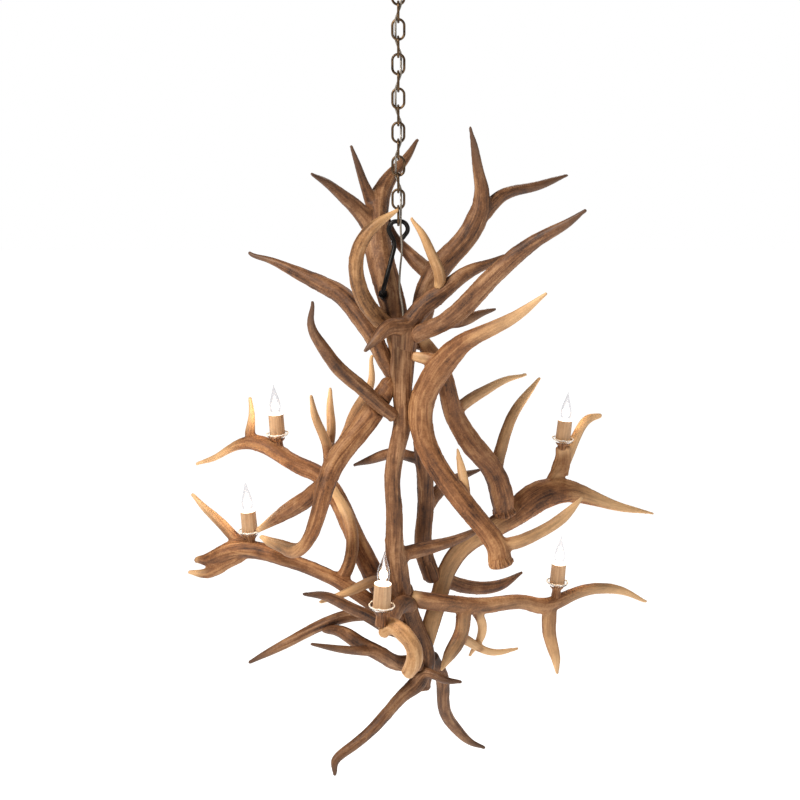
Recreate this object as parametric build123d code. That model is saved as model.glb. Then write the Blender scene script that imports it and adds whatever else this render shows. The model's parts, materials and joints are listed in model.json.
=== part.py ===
from build123d import *
import math
import os

# Antler chandelier on a chain. Millimetres, +Z up, origin on the ceiling at the centre
# of the mounting bar. Front is -Y. Everything hangs below the origin.

os.makedirs("parts", exist_ok=True)

# ---------------------------------------------------------------- driving dimensions
# Gaps between pieces
SEAT_GAP = 0.3              # between a coped antler end and the antler it sits on
LINK_GAP = 0.3              # between two links at their bearing point
HOLE_GAP = 0.3              # round a cord or rod in a drilled hole
THREAD_GAP = 0.05           # radial, screw shell in its socket

# Ceiling mount
BAR_LENGTH = 112.0
BAR_WIDTH = 20.0
BAR_THICKNESS = 2.5
BAR_HOLE_SPACING = 88.9     # screws of a round ceiling box
BAR_HOLE_RADIUS = 2.5
NIPPLE_RADIUS = 4.9
NIPPLE_BORE_RADIUS = 3.6
NIPPLE_LENGTH = 30.0
LOCKNUT_ACROSS_FLATS = 15.0
LOCKNUT_HEIGHT = 4.0
CANOPY_RADIUS = 66.0
CANOPY_HEIGHT = 30.0
CANOPY_WALL = 1.4
CANOPY_FLAT_RADIUS = 22.0
NECK_RADIUS = 11.5
NECK_TOP = 14.0             # below the ceiling
COLLAR_RADIUS = 18.0
COLLAR_HEIGHT = 10.0
COLLAR_KNURLS = 24
LOOP_ROD_RADIUS = 3.5
LOOP_INNER_RADIUS = 12.5
LOOP_STEM_HEIGHT = 4.0      # neck left below the collar

# Chain
LINK_COUNT = 14
LINK_WIRE_RADIUS = 3.0
LINK_INNER_LENGTH = 39.6
LINK_INNER_WIDTH = 22.0

# Supply cord
CORD_RADIUS = 2.5
CORD_WEAVE = 6.4            # how far each way the cord stands off the chain's middle
CORD_STAND = 0.16           # share of the pitch that it runs upright each side of a joint
CORD_HOLE_DEPTH = 28.0

# Eye rod
EYE_ROD_RADIUS = 5.5
EYE_HALF_WIDTH = 25.5       # of the ring, to the rod's centre line
EYE_HEIGHT = 45.0
EYE_NUT_ACROSS_FLATS = 20.0
EYE_NUT_HEIGHT = 8.0

# Candle lights
CUP_RADIUS = 26.5
CUP_RIM_HEIGHT = 9.0
CUP_WALL = 3.0
CUP_FLOOR = 4.0
CUP_STEM_RADIUS = 12.0
CUP_NECK_HEIGHT = 6.0       # from the stem out to the dish
SLEEVE_BOTTOM_RADIUS = 20.0
SLEEVE_TOP_RADIUS = 19.0
SLEEVE_HEIGHT = 60.0
SLEEVE_BORE_RADIUS = 14.5
SLEEVE_GAP = 0.3
SOCKET_RADIUS = 13.0
SOCKET_HEIGHT = 50.0
SHELL_RADIUS = 6.0          # screw shell of the bulb
SHELL_LENGTH = 18.0
BULB_RADIUS = 14.5
BULB_HEIGHT = 88.0          # glass, from the shell to the tip

# ---------------------------------------------------------------- antlers
# Each antler is a list of limbs and each limb a list of (x, y, z, half width) points
# along its middle. They are measured from the middle of the eye's top bar, from which
# the antlers hang.
CROWN_LEFT = [
    [(50, 250, 195, 4), (25, 215, 155, 10), (-5, 175, 120, 15), (-40, 125, 70, 23),
     (-55, 80, 5, 31), (-50, 45, -65, 33.5), (-35, 20, -130, 33.5), (-15, 10, -200, 32),
     (0, 0, -280, 29.5), (10, 0, -360, 27.5)],
    [(-115, 40, 180, 3.5), (-100, 60, 135, 8), (-80, 85, 75, 13), (-55, 95, 20, 22)],
    [(-205, -60, 115, 3.5), (-175, -20, 95, 9.5), (-135, 25, 60, 15), (-90, 60, 15, 22),
     (-55, 65, -30, 26)],
]
CROWN_RIGHT = [
    [(175, 60, 225, 3.5), (188, 80, 170, 10), (199, 95, 115, 14), (208, 103, 68, 19),
     (205, 103, 25, 24), (175, 100, -40, 27), (125, 85, -95, 29), (90, 70, -140, 30),
     (70, 50, -185, 30), (55, 32, -245, 27.5), (38, 20, -315, 24)],
    [(440, 240, 105, 4), (380, 205, 85, 10.5), (310, 165, 70, 13.5), (255, 130, 52, 17),
     (205, 105, 8, 22)],
    [(-30, 125, 10, 4), (-15, 115, -35, 10), (15, 105, -75, 15), (50, 90, -110, 20),
     (95, 72, -145, 22.5)],
]
CURLED_TINE = [
    [(0, -115, 35, 3.5), (-45, -120, 5, 11.5), (-85, -115, -40, 16.5), (-100, -100, -95, 17.5),
     (-90, -80, -160, 19), (-60, -58, -215, 20.5), (-20, -32, -260, 20.5)],
]
EYE_TINE = [
    [(30, -90, 15, 3.5), (60, -90, -30, 9.5), (85, -80, -85, 13), (100, -70, -130, 14.5),
     (98, -62, -170, 14)],
]
LONG_LEFT = [
    [(-380, 120, -85, 4), (-295, 95, -115, 11.5), (-200, 60, -155, 20.5), (-135, 40, -190, 24),
     (-90, 15, -240, 24.5), (-55, -10, -295, 21), (-30, -25, -345, 19.5), (-5, -38, -385, 18.5)],
]
LEFT_UP_TINE = [
    [(-195, -230, -165, 3.5), (-200, -210, -220, 9), (-175, -180, -280, 14),
     (-135, -150, -340, 16.5), (-85, -120, -390, 17), (-45, -100, -435, 17), (-10, -85, -465, 16)],
]
FRONT_CENTRE = [
    [(20, -58, -230, 30), (15, -58, -290, 30), (10, -60, -350, 29), (10, -66, -415, 24.5),
     (10, -72, -480, 22), (-5, -78, -555, 21), (-15, -80, -630, 19.5), (-10, -78, -710, 21),
     (-10, -72, -795, 23.5), (-5, -65, -845, 26.5), (2, -55, -895, 27), (10, -42, -940, 24)],
    [(-80, -150, -295, 3.5), (-55, -132, -270, 12), (-25, -105, -245, 19), (15, -68, -245, 24)],
    [(265, -10, -80, 3.5), (215, -30, -100, 11), (165, -45, -120, 17), (110, -58, -160, 21.5),
     (60, -60, -200, 24), (25, -58, -240, 24)],
    [(230, 60, -790, 4), (180, 30, -805, 10.5), (130, 0, -815, 14), (75, -28, -820, 18),
     (15, -62, -825, 19)],
]
LONG_RIGHT = [
    [(420, -230, 40, 3.5), (380, -220, 10, 10), (330, -205, -20, 14.5), (270, -185, -65, 19.5),
     (210, -160, -125, 22), (155, -130, -190, 22.5), (110, -108, -230, 21.5),
     (38, -74, -270, 20.5)],
    [(235, -60, -205, 3.5), (195, -78, -215, 9.5), (155, -98, -228, 14), (110, -112, -235, 15)],
]
RIGHT_FRONT = [
    [(335, -240, -145, 3.5), (295, -225, -180, 10), (250, -198, -215, 15), (200, -168, -245, 18.5),
     (155, -138, -275, 23.5), (115, -112, -320, 30), (75, -102, -380, 31), (55, -98, -440, 30),
     (60, -106, -505, 28), (85, -125, -565, 27), (120, -145, -615, 26), (165, -168, -670, 25.5),
     (210, -190, -720, 25), (240, -203, -768, 27), (246, -206, -800, 29)],
    [(180, -110, -270, 3.5), (152, -114, -280, 11), (122, -116, -300, 17), (90, -112, -340, 19)],
    [(445, -150, -650, 3.5), (415, -160, -680, 11), (370, -170, -715, 14.5),
     (315, -185, -740, 15.5), (265, -197, -753, 16.5), (225, -200, -757, 16)],
    [(145, -70, -550, 3.5), (150, -95, -575, 8.5), (158, -125, -612, 12), (165, -165, -665, 13)],
    [(34, -82, -316, 11), (72, -97, -322, 16), (110, -108, -335, 19)],
]
RIGHT_REAR = [
    [(55, 15, -290, 19), (95, 12, -345, 21), (120, 15, -405, 22.5), (135, 35, -470, 25),
     (165, 55, -535, 27), (215, 75, -605, 29), (258, 98, -675, 30), (275, 112, -740, 30),
     (282, 122, -775, 27)],
    [(380, 230, -430, 4), (345, 210, -470, 10.5), (305, 180, -520, 14.5), (280, 150, -575, 16),
     (262, 125, -635, 17), (252, 95, -690, 17)],
    [(335, 150, -405, 4), (280, 125, -415, 9), (230, 100, -435, 13), (185, 70, -455, 15.5),
     (135, 35, -485, 16)],
]
RIGHT_UPPER_ARM = [
    [(66, -5, -1105, 22.5), (92, 20, -1025, 23.5), (115, 50, -950, 23.5), (140, 65, -890, 25),
     (180, 85, -850, 25), (235, 105, -820, 26.5), (295, 130, -790, 33), (360, 165, -752, 41),
     (440, 205, -738, 36), (525, 240, -765, 24), (620, 270, -805, 13.5), (715, 290, -830, 4)],
    [(566, 332, -556, 7), (532, 312, -560, 13), (500, 288, -588, 16), (470, 262, -640, 20),
     (440, 235, -690, 25), (405, 195, -745, 28)],
    [(447, 236, -622, 19), (449, 238, -650, 22), (440, 230, -700, 26)],
]
CENTRE_REAR = [
    [(55, 20, -550, 17.5), (65, 40, -625, 20.5), (70, 50, -710, 22), (65, 52, -800, 22),
     (68, 54, -870, 23), (88, 50, -930, 23)],
    [(345, 240, -985, 4), (300, 205, -1000, 12.5), (240, 160, -1000, 17.5), (170, 110, -975, 19),
     (90, 52, -925, 19)],
    [(220, 190, -675, 4), (180, 160, -680, 10.5), (140, 125, -690, 16), (100, 85, -710, 18.5),
     (70, 52, -740, 19)],
    [(-120, 160, -655, 4), (-70, 130, -630, 12), (-15, 95, -605, 15), (55, 38, -600, 16)],
]
LEFT_UPPER_ARM = [
    [(-545, 190, -660, 4), (-495, 180, -640, 8), (-445, 165, -608, 11.5),
     (-395, 152, -590, 18), (-330, 125, -602, 21), (-270, 105, -635, 21),
     (-210, 90, -660, 21.5), (-175, 75, -695, 22), (-145, 60, -745, 22),
     (-120, 45, -800, 23), (-90, 30, -860, 25), (-55, 5, -925, 26), (-10, -18, -985, 24)],
    [(-395, 190, -475, 4), (-390, 175, -510, 7.5), (-392, 150, -575, 15)],
    [(-220, 20, -435, 4), (-215, 40, -480, 9), (-200, 55, -530, 11.5), (-182, 68, -590, 14),
     (-180, 78, -680, 16)],
    [(-180, 170, -445, 4), (-180, 150, -485, 9), (-176, 125, -535, 12), (-180, 75, -615, 13)],
    [(-65, 40, -335, 4), (-70, 50, -410, 10), (-95, 60, -460, 13), (-125, 70, -525, 14),
     (-180, 80, -640, 15)],
    [(-190, -200, -900, 4), (-135, -165, -892, 9), (-95, -105, -895, 12), (-65, -45, -905, 14),
     (-52, 0, -920, 16)],
]
LEFT_FRONT = [
    [(-22, -58, -392, 22), (-62, -76, -455, 28), (-115, -110, -520, 27),
     (-155, -150, -570, 25), (-175, -180, -620, 22), (-190, -200, -675, 19),
     (-206, -215, -720, 17), (-226, -218, -752, 15.5), (-275, -160, -775, 14.5),
     (-315, -105, -780, 11), (-345, -62, -780, 5)],
    [(-355, -42, -770, 6), (-325, -62, -745, 11.5), (-265, -105, -695, 20),
     (-210, -150, -645, 20), (-165, -165, -595, 16)],
]
LEFT_LOWER_ARM = [
    [(5, -33, -1012, 19), (-75, -50, -955, 19), (-120, -55, -920, 19), (-165, -50, -895, 18),
     (-230, -35, -870, 18), (-300, -20, -850, 19), (-375, 0, -835, 23), (-430, 15, -845, 26),
     (-485, 25, -870, 20), (-530, 45, -880, 7)],
    [(-540, 80, -710, 4), (-505, 62, -742, 9), (-458, 42, -780, 13), (-415, 24, -818, 15),
     (-365, 2, -842, 17)],
    [(-172, 62, -690, 14), (-150, 50, -725, 15), (-128, 25, -765, 16), (-118, -5, -810, 16),
     (-125, -30, -860, 16), (-148, -52, -912, 16)],
    [(-545, 15, -902, 4), (-505, 12, -905, 12), (-460, 12, -885, 17), (-400, 8, -845, 18)],
]
FRONT_ARM = [
    [(30, -20, -975, 23), (5, -130, -935, 21), (-15, -240, -915, 20.5), (-26, -320, -904, 19),
     (-32, -390, -897, 13)],
    [(-30, -330, -898, 16), (-8, -375, -888, 18), (20, -398, -905, 18.5), (37, -404, -940, 18.5),
     (31, -400, -975, 18), (20, -394, -996, 15)],
]
RIGHT_LOWER_ARM = [
    [(-30, -62, -918, 17.5), (30, -40, -950, 21.5), (105, -10, -975, 23.5), (185, 30, -1000, 23.5),
     (270, 70, -1010, 22.5), (350, 110, -1025, 21.5), (420, 145, -1040, 23), (485, 170, -1020, 19),
     (555, 195, -1015, 16.5), (630, 220, -1035, 11), (695, 235, -1070, 4)],
    [(435, 120, -1235, 4), (430, 125, -1195, 12.5), (415, 135, -1140, 17.5),
     (410, 140, -1085, 20), (412, 142, -1045, 20)],
    [(325, 110, -1155, 4), (285, 90, -1155, 8), (235, 60, -1140, 10.5), (170, 20, -1088, 14.5),
     (150, 2, -1072, 16)],
    [(110, -40, -1150, 4), (130, -20, -1120, 15.5), (160, 10, -1080, 20), (178, 25, -1005, 20)],
    [(190, 70, -1160, 4), (215, 60, -1110, 10.5), (220, 50, -1055, 13), (200, 36, -1005, 15)],
]
LEFT_LOW_TINES = [
    [(-225, -260, -855, 3.5), (-185, -230, -870, 9.5), (-135, -185, -910, 13.5),
     (-90, -145, -950, 15), (-40, -98, -1000, 16.5), (22, -42, -1055, 16.5)],
]
LEFT_LOW_ANTLER = [
    [(-385, -60, -1120, 4), (-340, -57, -1096, 9), (-286, -52, -1069, 12.5),
     (-207, -46, -1027, 14.5), (-127, -38, -1001, 16), (-70, -32, -1000, 17),
     (-5, -20, -1030, 19), (50, -12, -1075, 21)],
]
FRONT_LOW_ANTLER = [
    [(-190, -52, -1030, 9), (-150, -85, -1022, 14), (-110, -122, -1030, 17), (-65, -138, -1050, 18),
     (-20, -100, -1095, 18.5), (45, -35, -1140, 19.5)],
    [(-210, -240, -990, 3.5), (-165, -215, -1010, 7.5), (-120, -185, -1030, 10),
     (-50, -130, -1060, 12.5)],
]
CENTRAL_BEAM = [
    [(10, -38, -925, 26), (22, -25, -985, 27), (48, -15, -1060, 27), (65, -10, -1135, 31),
     (58, -8, -1212, 27)],
]
BOTTOM_LEFT_LEG = [
    [(68, -35, -1148, 24), (45, -58, -1180, 22), (15, -75, -1200, 17.5),
     (-25, -100, -1235, 15.5), (-85, -135, -1285, 14), (-135, -160, -1315, 12.5),
     (-160, -180, -1335, 10), (-160, -190, -1365, 4)],
    [(160, -110, -1150, 4), (125, -90, -1155, 9), (95, -66, -1152, 12), (60, -45, -1150, 14)],
]
BOTTOM_RIGHT_LEG = [
    [(88, 22, -1138, 18.5), (115, 45, -1205, 18.5), (120, 60, -1275, 17.5),
     (135, 80, -1345, 16.5), (170, 100, -1400, 13.5), (205, 110, -1435, 8.5), (240, 120, -1455, 4)],
]

# name: limbs, depth of a section as a share of its width, antlers that it is coped to
ANTLERS = {
    "crown_left_antler": (CROWN_LEFT, 1.05, []),
    "crown_right_antler": (CROWN_RIGHT, 0.78, ["crown_left_antler"]),
    "front_centre_antler": (FRONT_CENTRE, 1.0, ["crown_left_antler"]),
    "curled_front_tine": (CURLED_TINE, 1.1, ["crown_left_antler", "front_centre_antler"]),
    "eye_tine": (EYE_TINE, 1.0, ["front_centre_antler", "crown_right_antler"]),
    "long_left_antler": (LONG_LEFT, 1.2, ["crown_left_antler", "front_centre_antler"]),
    "left_up_tine": (LEFT_UP_TINE, 1.15, ["front_centre_antler"]),
    "long_right_antler": (LONG_RIGHT, 0.85, ["front_centre_antler"]),
    "right_front_antler": (RIGHT_FRONT, 0.78, ["front_centre_antler", "long_right_antler"]),
    "right_rear_antler": (RIGHT_REAR, 0.8, ["crown_right_antler", "crown_left_antler",
                                            "front_centre_antler"]),
    "central_beam": (CENTRAL_BEAM, 1.0, ["front_centre_antler"]),
    "right_upper_arm": (RIGHT_UPPER_ARM, 0.52, ["central_beam", "right_rear_antler"]),
    "centre_rear_antler": (CENTRE_REAR, 0.85, ["right_upper_arm"]),
    "left_upper_arm": (LEFT_UPPER_ARM, 1.2, ["central_beam", "front_centre_antler"]),
    "left_front_antler": (LEFT_FRONT, 1.15, ["front_centre_antler", "long_left_antler",
                                            "left_up_tine"]),
    "left_lower_arm": (LEFT_LOWER_ARM, 1.2, ["central_beam", "left_upper_arm", "front_arm"]),
    "front_arm": (FRONT_ARM, 1.0, ["central_beam", "front_centre_antler"]),
    "right_lower_arm": (RIGHT_LOWER_ARM, 0.72, ["central_beam", "front_centre_antler", "front_arm",
                                               "right_upper_arm", "centre_rear_antler"]),
    "left_low_tines": (LEFT_LOW_TINES, 1.15, ["central_beam", "left_lower_arm", "front_arm",
                                             "left_upper_arm"]),
    "left_low_antler": (LEFT_LOW_ANTLER, 1.15, ["central_beam", "left_low_tines",
                                               "right_upper_arm", "left_lower_arm",
                                               "left_upper_arm"]),
    "front_low_antler": (FRONT_LOW_ANTLER, 1.1, ["central_beam", "left_low_antler"]),
    "bottom_left_leg": (BOTTOM_LEFT_LEG, 1.0, ["central_beam", "front_low_antler"]),
    "bottom_right_leg": (BOTTOM_RIGHT_LEG, 1.0, ["central_beam", "right_upper_arm"]),
}
# Limbs that run front to back take their section's width from X instead of Y
DEEP_ANTLERS = ["front_arm"]

# Candle lights: cup floor's underside from the eye, lean about Y in degrees, its antler,
# and how far the cup's stem reaches down before it is coped to that antler
LIGHTS = {
    "front": ((-38, -380, -848), 3.2, "front_arm", 38.0),
    "lower_left": ((-380, 2, -796), -3.6, "left_lower_arm", 50.0),
    "upper_left": ((-316, 122, -570), -3.6, "left_upper_arm", 50.0),
    "lower_right": ((430, 148, -990), 3.4, "right_lower_arm", 50.0),
    "upper_right": ((446, 236, -612), 5.0, "right_upper_arm", 11.0),
}

# ---------------------------------------------------------------- stack below the ceiling
collar_top = -CANOPY_HEIGHT
collar_bottom = collar_top - COLLAR_HEIGHT
neck_bottom = collar_bottom - LOOP_STEM_HEIGHT
loop_centre = neck_bottom - LOOP_ROD_RADIUS - LOOP_INNER_RADIUS
loop_bar = loop_centre - LOOP_INNER_RADIUS - LOOP_ROD_RADIUS
link_outer_length = LINK_INNER_LENGTH + 4 * LINK_WIRE_RADIUS
link_pitch = LINK_INNER_LENGTH - LINK_GAP
top_link_centre = (loop_bar + LOOP_ROD_RADIUS + LINK_GAP + 2 * LINK_WIRE_RADIUS
                   - link_outer_length / 2)
last_link_centre = top_link_centre - (LINK_COUNT - 1) * link_pitch
last_link_bar = last_link_centre - link_outer_length / 2 + LINK_WIRE_RADIUS
eye_bar = last_link_bar + LINK_WIRE_RADIUS + LINK_GAP + EYE_ROD_RADIUS


def from_eye(point):
    """A point measured from the eye's top bar, in the part's frame."""
    return Vector(point[0], point[1], point[2] + eye_bar)


# ---------------------------------------------------------------- antler shapes
def limb_planes(points, facing):
    """A plane across a limb at each of its points, turned as little as can be."""
    middles = [from_eye(point) for point in points]
    last = len(middles) - 1
    planes = []
    across = None
    for index, middle in enumerate(middles):
        if index == 0:
            along = middles[1] - middle
            across = facing.cross(along)
        elif index == last:
            along = middle - middles[index - 1]
        else:
            before = middle - middles[index - 1]
            after = middles[index + 1] - middle
            along = before.normalized() + after.normalized()
        along = along.normalized()
        across = across - along * across.dot(along)
        planes.append(Plane(origin=middle, x_dir=across, z_dir=along))
    return planes


def with_end_middles(points):
    """One more point half-way along the first and last runs, so that no end swings out."""
    start = [(a + b) / 2 for a, b in zip(points[0], points[1])]
    end = [(a + b) / 2 for a, b in zip(points[-2], points[-1])]
    return [points[0], start, *points[1:-1], end, points[-1]]


def limb(points, depth_share, facing, grow):
    """A beam or tine: oval sections on the limb's middle line."""
    points = with_end_middles(points)
    planes = limb_planes(points, facing)
    sections = []
    for plane, point in zip(planes, points):
        width = point[3] + grow
        depth = point[3] * depth_share + grow
        sections.append(plane * Ellipse(width, depth))
    return loft(sections)


def antler(name, grow=0.0):
    """All limbs of one antler as one solid, larger all round by grow."""
    limbs, depth_share, _ = ANTLERS[name]
    facing = Vector(1, 0, 0) if name in DEEP_ANTLERS else Vector(0, 1, 0)
    shapes = [limb(points, depth_share, facing, grow) for points in limbs]
    solid = shapes[0]
    for shape in shapes[1:]:
        solid = solid + shape
    return solid


def largest(shape):
    """The main solid that is left of a shape after a cut."""
    return max(shape.solids(), key=lambda solid: solid.volume)


def coped_antler(name):
    """An antler whose ends are cut to fit the antlers that carry it."""
    solid = antler(name)
    for neighbour in ANTLERS[name][2]:
        solid = solid - antler(neighbour, SEAT_GAP)
    return largest(solid)


# ---------------------------------------------------------------- ceiling mount
def mounting_bar():
    bar = Pos(0, 0, -BAR_THICKNESS / 2) * Box(BAR_LENGTH, BAR_WIDTH, BAR_THICKNESS)
    ends = bar.edges().filter_by(Axis.Z)
    bar = fillet(ends, BAR_WIDTH / 4)
    for side in (-1, 1):
        place = Pos(side * BAR_HOLE_SPACING / 2, 0, -BAR_THICKNESS / 2)
        bar = bar - place * Cylinder(BAR_HOLE_RADIUS, 2 * BAR_THICKNESS)
    bar = bar - Pos(0, 0, -BAR_THICKNESS / 2) * Cylinder(NIPPLE_RADIUS + HOLE_GAP, 2 * BAR_THICKNESS)
    return bar


def nipple():
    tube = Cylinder(NIPPLE_RADIUS, NIPPLE_LENGTH) - Cylinder(NIPPLE_BORE_RADIUS, NIPPLE_LENGTH)
    return Pos(0, 0, -NIPPLE_LENGTH / 2) * tube


def locknut():
    across_corners = LOCKNUT_ACROSS_FLATS / math.cos(math.pi / 6)
    nut = extrude(RegularPolygon(across_corners / 2, 6), LOCKNUT_HEIGHT)
    nut = nut - Cylinder(NIPPLE_RADIUS + THREAD_GAP, 4 * LOCKNUT_HEIGHT)
    return Pos(0, 0, -BAR_THICKNESS - LOCKNUT_HEIGHT) * nut


def canopy():
    """A spun dish: a flat for the collar, a curved shoulder and a rim on the ceiling."""
    shoulder = (0.78 * CANOPY_RADIUS, -0.62 * CANOPY_HEIGHT)
    inner_shoulder = (shoulder[0] - CANOPY_WALL, shoulder[1] + CANOPY_WALL)
    hole = NECK_RADIUS + HOLE_GAP
    roof = -CANOPY_HEIGHT + CANOPY_WALL
    with BuildSketch() as section:
        with BuildLine():
            Line((hole, -CANOPY_HEIGHT), (CANOPY_FLAT_RADIUS, -CANOPY_HEIGHT))
            Spline((CANOPY_FLAT_RADIUS, -CANOPY_HEIGHT), shoulder, (CANOPY_RADIUS, 0))
            Line((CANOPY_RADIUS, 0), (CANOPY_RADIUS - CANOPY_WALL, 0))
            Spline((CANOPY_RADIUS - CANOPY_WALL, 0), inner_shoulder, (CANOPY_FLAT_RADIUS, roof))
            Polyline((CANOPY_FLAT_RADIUS, roof), (hole, roof), (hole, -CANOPY_HEIGHT))
        make_face()
    return revolve(Plane.XZ * section.sketch, Axis.Z)


def neck_and_loop():
    """The neck that the collar screws on, with the hanging loop below it."""
    length = -NECK_TOP - neck_bottom
    neck = Pos(0, 0, neck_bottom + length / 2) * Cylinder(NECK_RADIUS, length)
    ring = Torus(LOOP_INNER_RADIUS + LOOP_ROD_RADIUS, LOOP_ROD_RADIUS)
    ring = Pos(0, 0, loop_centre) * Rot(0, 90, 0) * ring
    solid = neck + ring
    nipple_depth = NIPPLE_LENGTH - NECK_TOP
    bore = Pos(0, 0, -NECK_TOP - nipple_depth / 2) * Cylinder(NIPPLE_RADIUS + THREAD_GAP, nipple_depth)
    wire_way = Pos(0, 0, neck_bottom) * Cylinder(NIPPLE_BORE_RADIUS, 2 * length)
    return solid - bore - wire_way


def collar_nut():
    """A round nut with knurls that holds the canopy up."""
    middle = (collar_top + collar_bottom) / 2
    nut = Cylinder(COLLAR_RADIUS, COLLAR_HEIGHT)
    nut = chamfer(nut.edges(), 1.0)
    for index in range(COLLAR_KNURLS):
        groove = Pos(COLLAR_RADIUS + 0.6, 0, 0) * Cylinder(1.2, 2 * COLLAR_HEIGHT)
        nut = nut - Rot(0, 0, index * 360 / COLLAR_KNURLS) * groove
    nut = nut - Cylinder(NECK_RADIUS + THREAD_GAP, 2 * COLLAR_HEIGHT)
    return Pos(0, 0, middle - SEAT_GAP) * nut


# ---------------------------------------------------------------- chain
def chain_link(number):
    """Link 1 hangs on the loop; odd links are seen flat from the front."""
    bend = LINK_INNER_WIDTH / 2 + LINK_WIRE_RADIUS
    straight = LINK_INNER_LENGTH - LINK_INNER_WIDTH
    with BuildLine() as path:
        Line((bend, -straight / 2), (bend, straight / 2))
        RadiusArc((bend, straight / 2), (-bend, straight / 2), -bend)
        Line((-bend, straight / 2), (-bend, -straight / 2))
        RadiusArc((-bend, -straight / 2), (bend, -straight / 2), -bend)
    wire = Plane.XZ * path.line
    start = Plane(origin=(bend, 0, -straight / 2), z_dir=(0, 0, 1))
    link = sweep(start * Circle(LINK_WIRE_RADIUS), path=wire)
    turn = 0 if number % 2 == 1 else 90
    height = top_link_centre - (number - 1) * link_pitch
    return Pos(0, 0, height) * Rot(0, 0, turn) * link


# ---------------------------------------------------------------- eye rod
EYE_FOOT = (-38, -40, -168)       # where the rod turns back into the crown antler
EYE_END = (-38, 0, -180)


def eye_path():
    """The rod's middle line: round the ring, down, and back into the crown antler."""
    ring = [(9, 0, -EYE_HEIGHT + 3), (EYE_HALF_WIDTH, 0, -0.45 * EYE_HEIGHT),
            (0.62 * EYE_HALF_WIDTH, 0, 0), (-0.62 * EYE_HALF_WIDTH, 0, 0),
            (-EYE_HALF_WIDTH, 0, -0.45 * EYE_HEIGHT), (-7, 0, -EYE_HEIGHT - 8)]
    points = [from_eye(point) for point in ring + [EYE_FOOT, EYE_END]]
    radii = []
    for before, corner, after in zip(points, points[1:], points[2:]):
        turn = (corner - before).get_angle(after - corner)
        shorter = min((corner - before).length, (after - corner).length)
        radii.append(0.45 * shorter / math.tan(math.radians(turn / 2)))
    return FilletPolyline(*points, radius=radii)


def swept_rod(path, radius):
    start = Plane(origin=path @ 0, z_dir=path % 0)
    return sweep(start * Circle(radius), path=path)


def eye_end_plane():
    """A plane at the crown antler's face, looking out along the rod's last run."""
    foot = from_eye(EYE_FOOT)
    end = from_eye(EYE_END)
    return Plane(origin=end, z_dir=foot - end)


EYE_NUT_SEAT = 14.0               # from the rod's end out to the spot face


def eye_nut():
    across_corners = EYE_NUT_ACROSS_FLATS / math.cos(math.pi / 6)
    nut = extrude(RegularPolygon(across_corners / 2, 6), EYE_NUT_HEIGHT)
    nut = nut - Cylinder(EYE_ROD_RADIUS + THREAD_GAP, 4 * EYE_NUT_HEIGHT)
    return eye_end_plane().offset(EYE_NUT_SEAT) * nut


def crown_left_antler():
    """The crown antler that carries all, drilled and spot-faced for the eye rod."""
    solid = coped_antler("crown_left_antler")
    out = eye_end_plane()
    depth = 4 * EYE_NUT_SEAT
    hole = out.offset(-HOLE_GAP) * extrude(Circle(EYE_ROD_RADIUS + HOLE_GAP), depth)
    face = out.offset(EYE_NUT_SEAT) * extrude(Circle(0.75 * EYE_NUT_ACROSS_FLATS), depth)
    return largest(solid - hole - face)


# ---------------------------------------------------------------- supply cord
CORD_TAIL = [(5, -16, -20), (10, -30, -62), (4, -44, -110), (2, -54, -160), (12, -58, -206)]


def cord_route():
    """Down the neck, woven a quarter turn at each link, through the eye, into an antler."""
    points = [Vector(0, 0, -2), Vector(0, 0, loop_centre + LOOP_INNER_RADIUS - 4)]
    points.append(Vector(CORD_WEAVE, CORD_WEAVE, loop_centre - 1))
    corners = [(1, 1), (1, -1), (-1, -1), (-1, 1)]
    for joint in range(LINK_COUNT):
        height = top_link_centre + (0.5 - joint) * link_pitch
        side = corners[joint % 4]
        steps = (-CORD_STAND,) if joint == 0 else (CORD_STAND, -CORD_STAND)
        for step in steps:
            points.append(Vector(side[0] * CORD_WEAVE, side[1] * CORD_WEAVE,
                                 height + step * link_pitch))
    points.extend(from_eye(point) for point in CORD_TAIL)
    points.append(from_eye(CORD_TAIL[-1]) - Vector(0, 0, CORD_HOLE_DEPTH))
    return points


def supply_cord():
    points = cord_route()
    radii = []
    for before, corner, after in zip(points, points[1:], points[2:]):
        turn = (corner - before).get_angle(after - corner)
        shorter = min((corner - before).length, (after - corner).length)
        radii.append(0.45 * shorter / math.tan(math.radians(max(turn, 0.5) / 2)))
    print("cord bend radii from", round(min(radii), 1), "mm")
    path = FilletPolyline(*points, radius=radii)
    print("cord length", round(path.length, 1), "mm")
    return swept_rod(path, CORD_RADIUS)


# ---------------------------------------------------------------- candle lights
def light_frame(name):
    """The light's own frame: its z axis leans with the candle."""
    place, lean = LIGHTS[name][:2]
    return Location(from_eye(place)) * Rot(0, lean, 0)


def cup(name):
    """A dished cup on a stem that is coped to the antler under it."""
    rim = CUP_FLOOR + CUP_RIM_HEIGHT
    stem = LIGHTS[name][3]
    with BuildLine() as outline:
        Polyline((0, -stem), (CUP_STEM_RADIUS, -stem), (CUP_STEM_RADIUS, -CUP_NECK_HEIGHT),
                 (0.8 * CUP_RADIUS, 0))
        RadiusArc((0.8 * CUP_RADIUS, 0), (CUP_RADIUS, rim), -2 * rim)
        Polyline((CUP_RADIUS, rim), (CUP_RADIUS - CUP_WALL, rim),
                 (SLEEVE_BOTTOM_RADIUS + SLEEVE_GAP, CUP_FLOOR), (0, CUP_FLOOR), (0, -stem))
    solid = revolve(Plane.XZ * make_face(outline.line), Axis.Z)
    solid = light_frame(name) * solid
    return max((solid - antler(LIGHTS[name][2], SEAT_GAP)).solids(), key=lambda part: part.center().Z)


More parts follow.
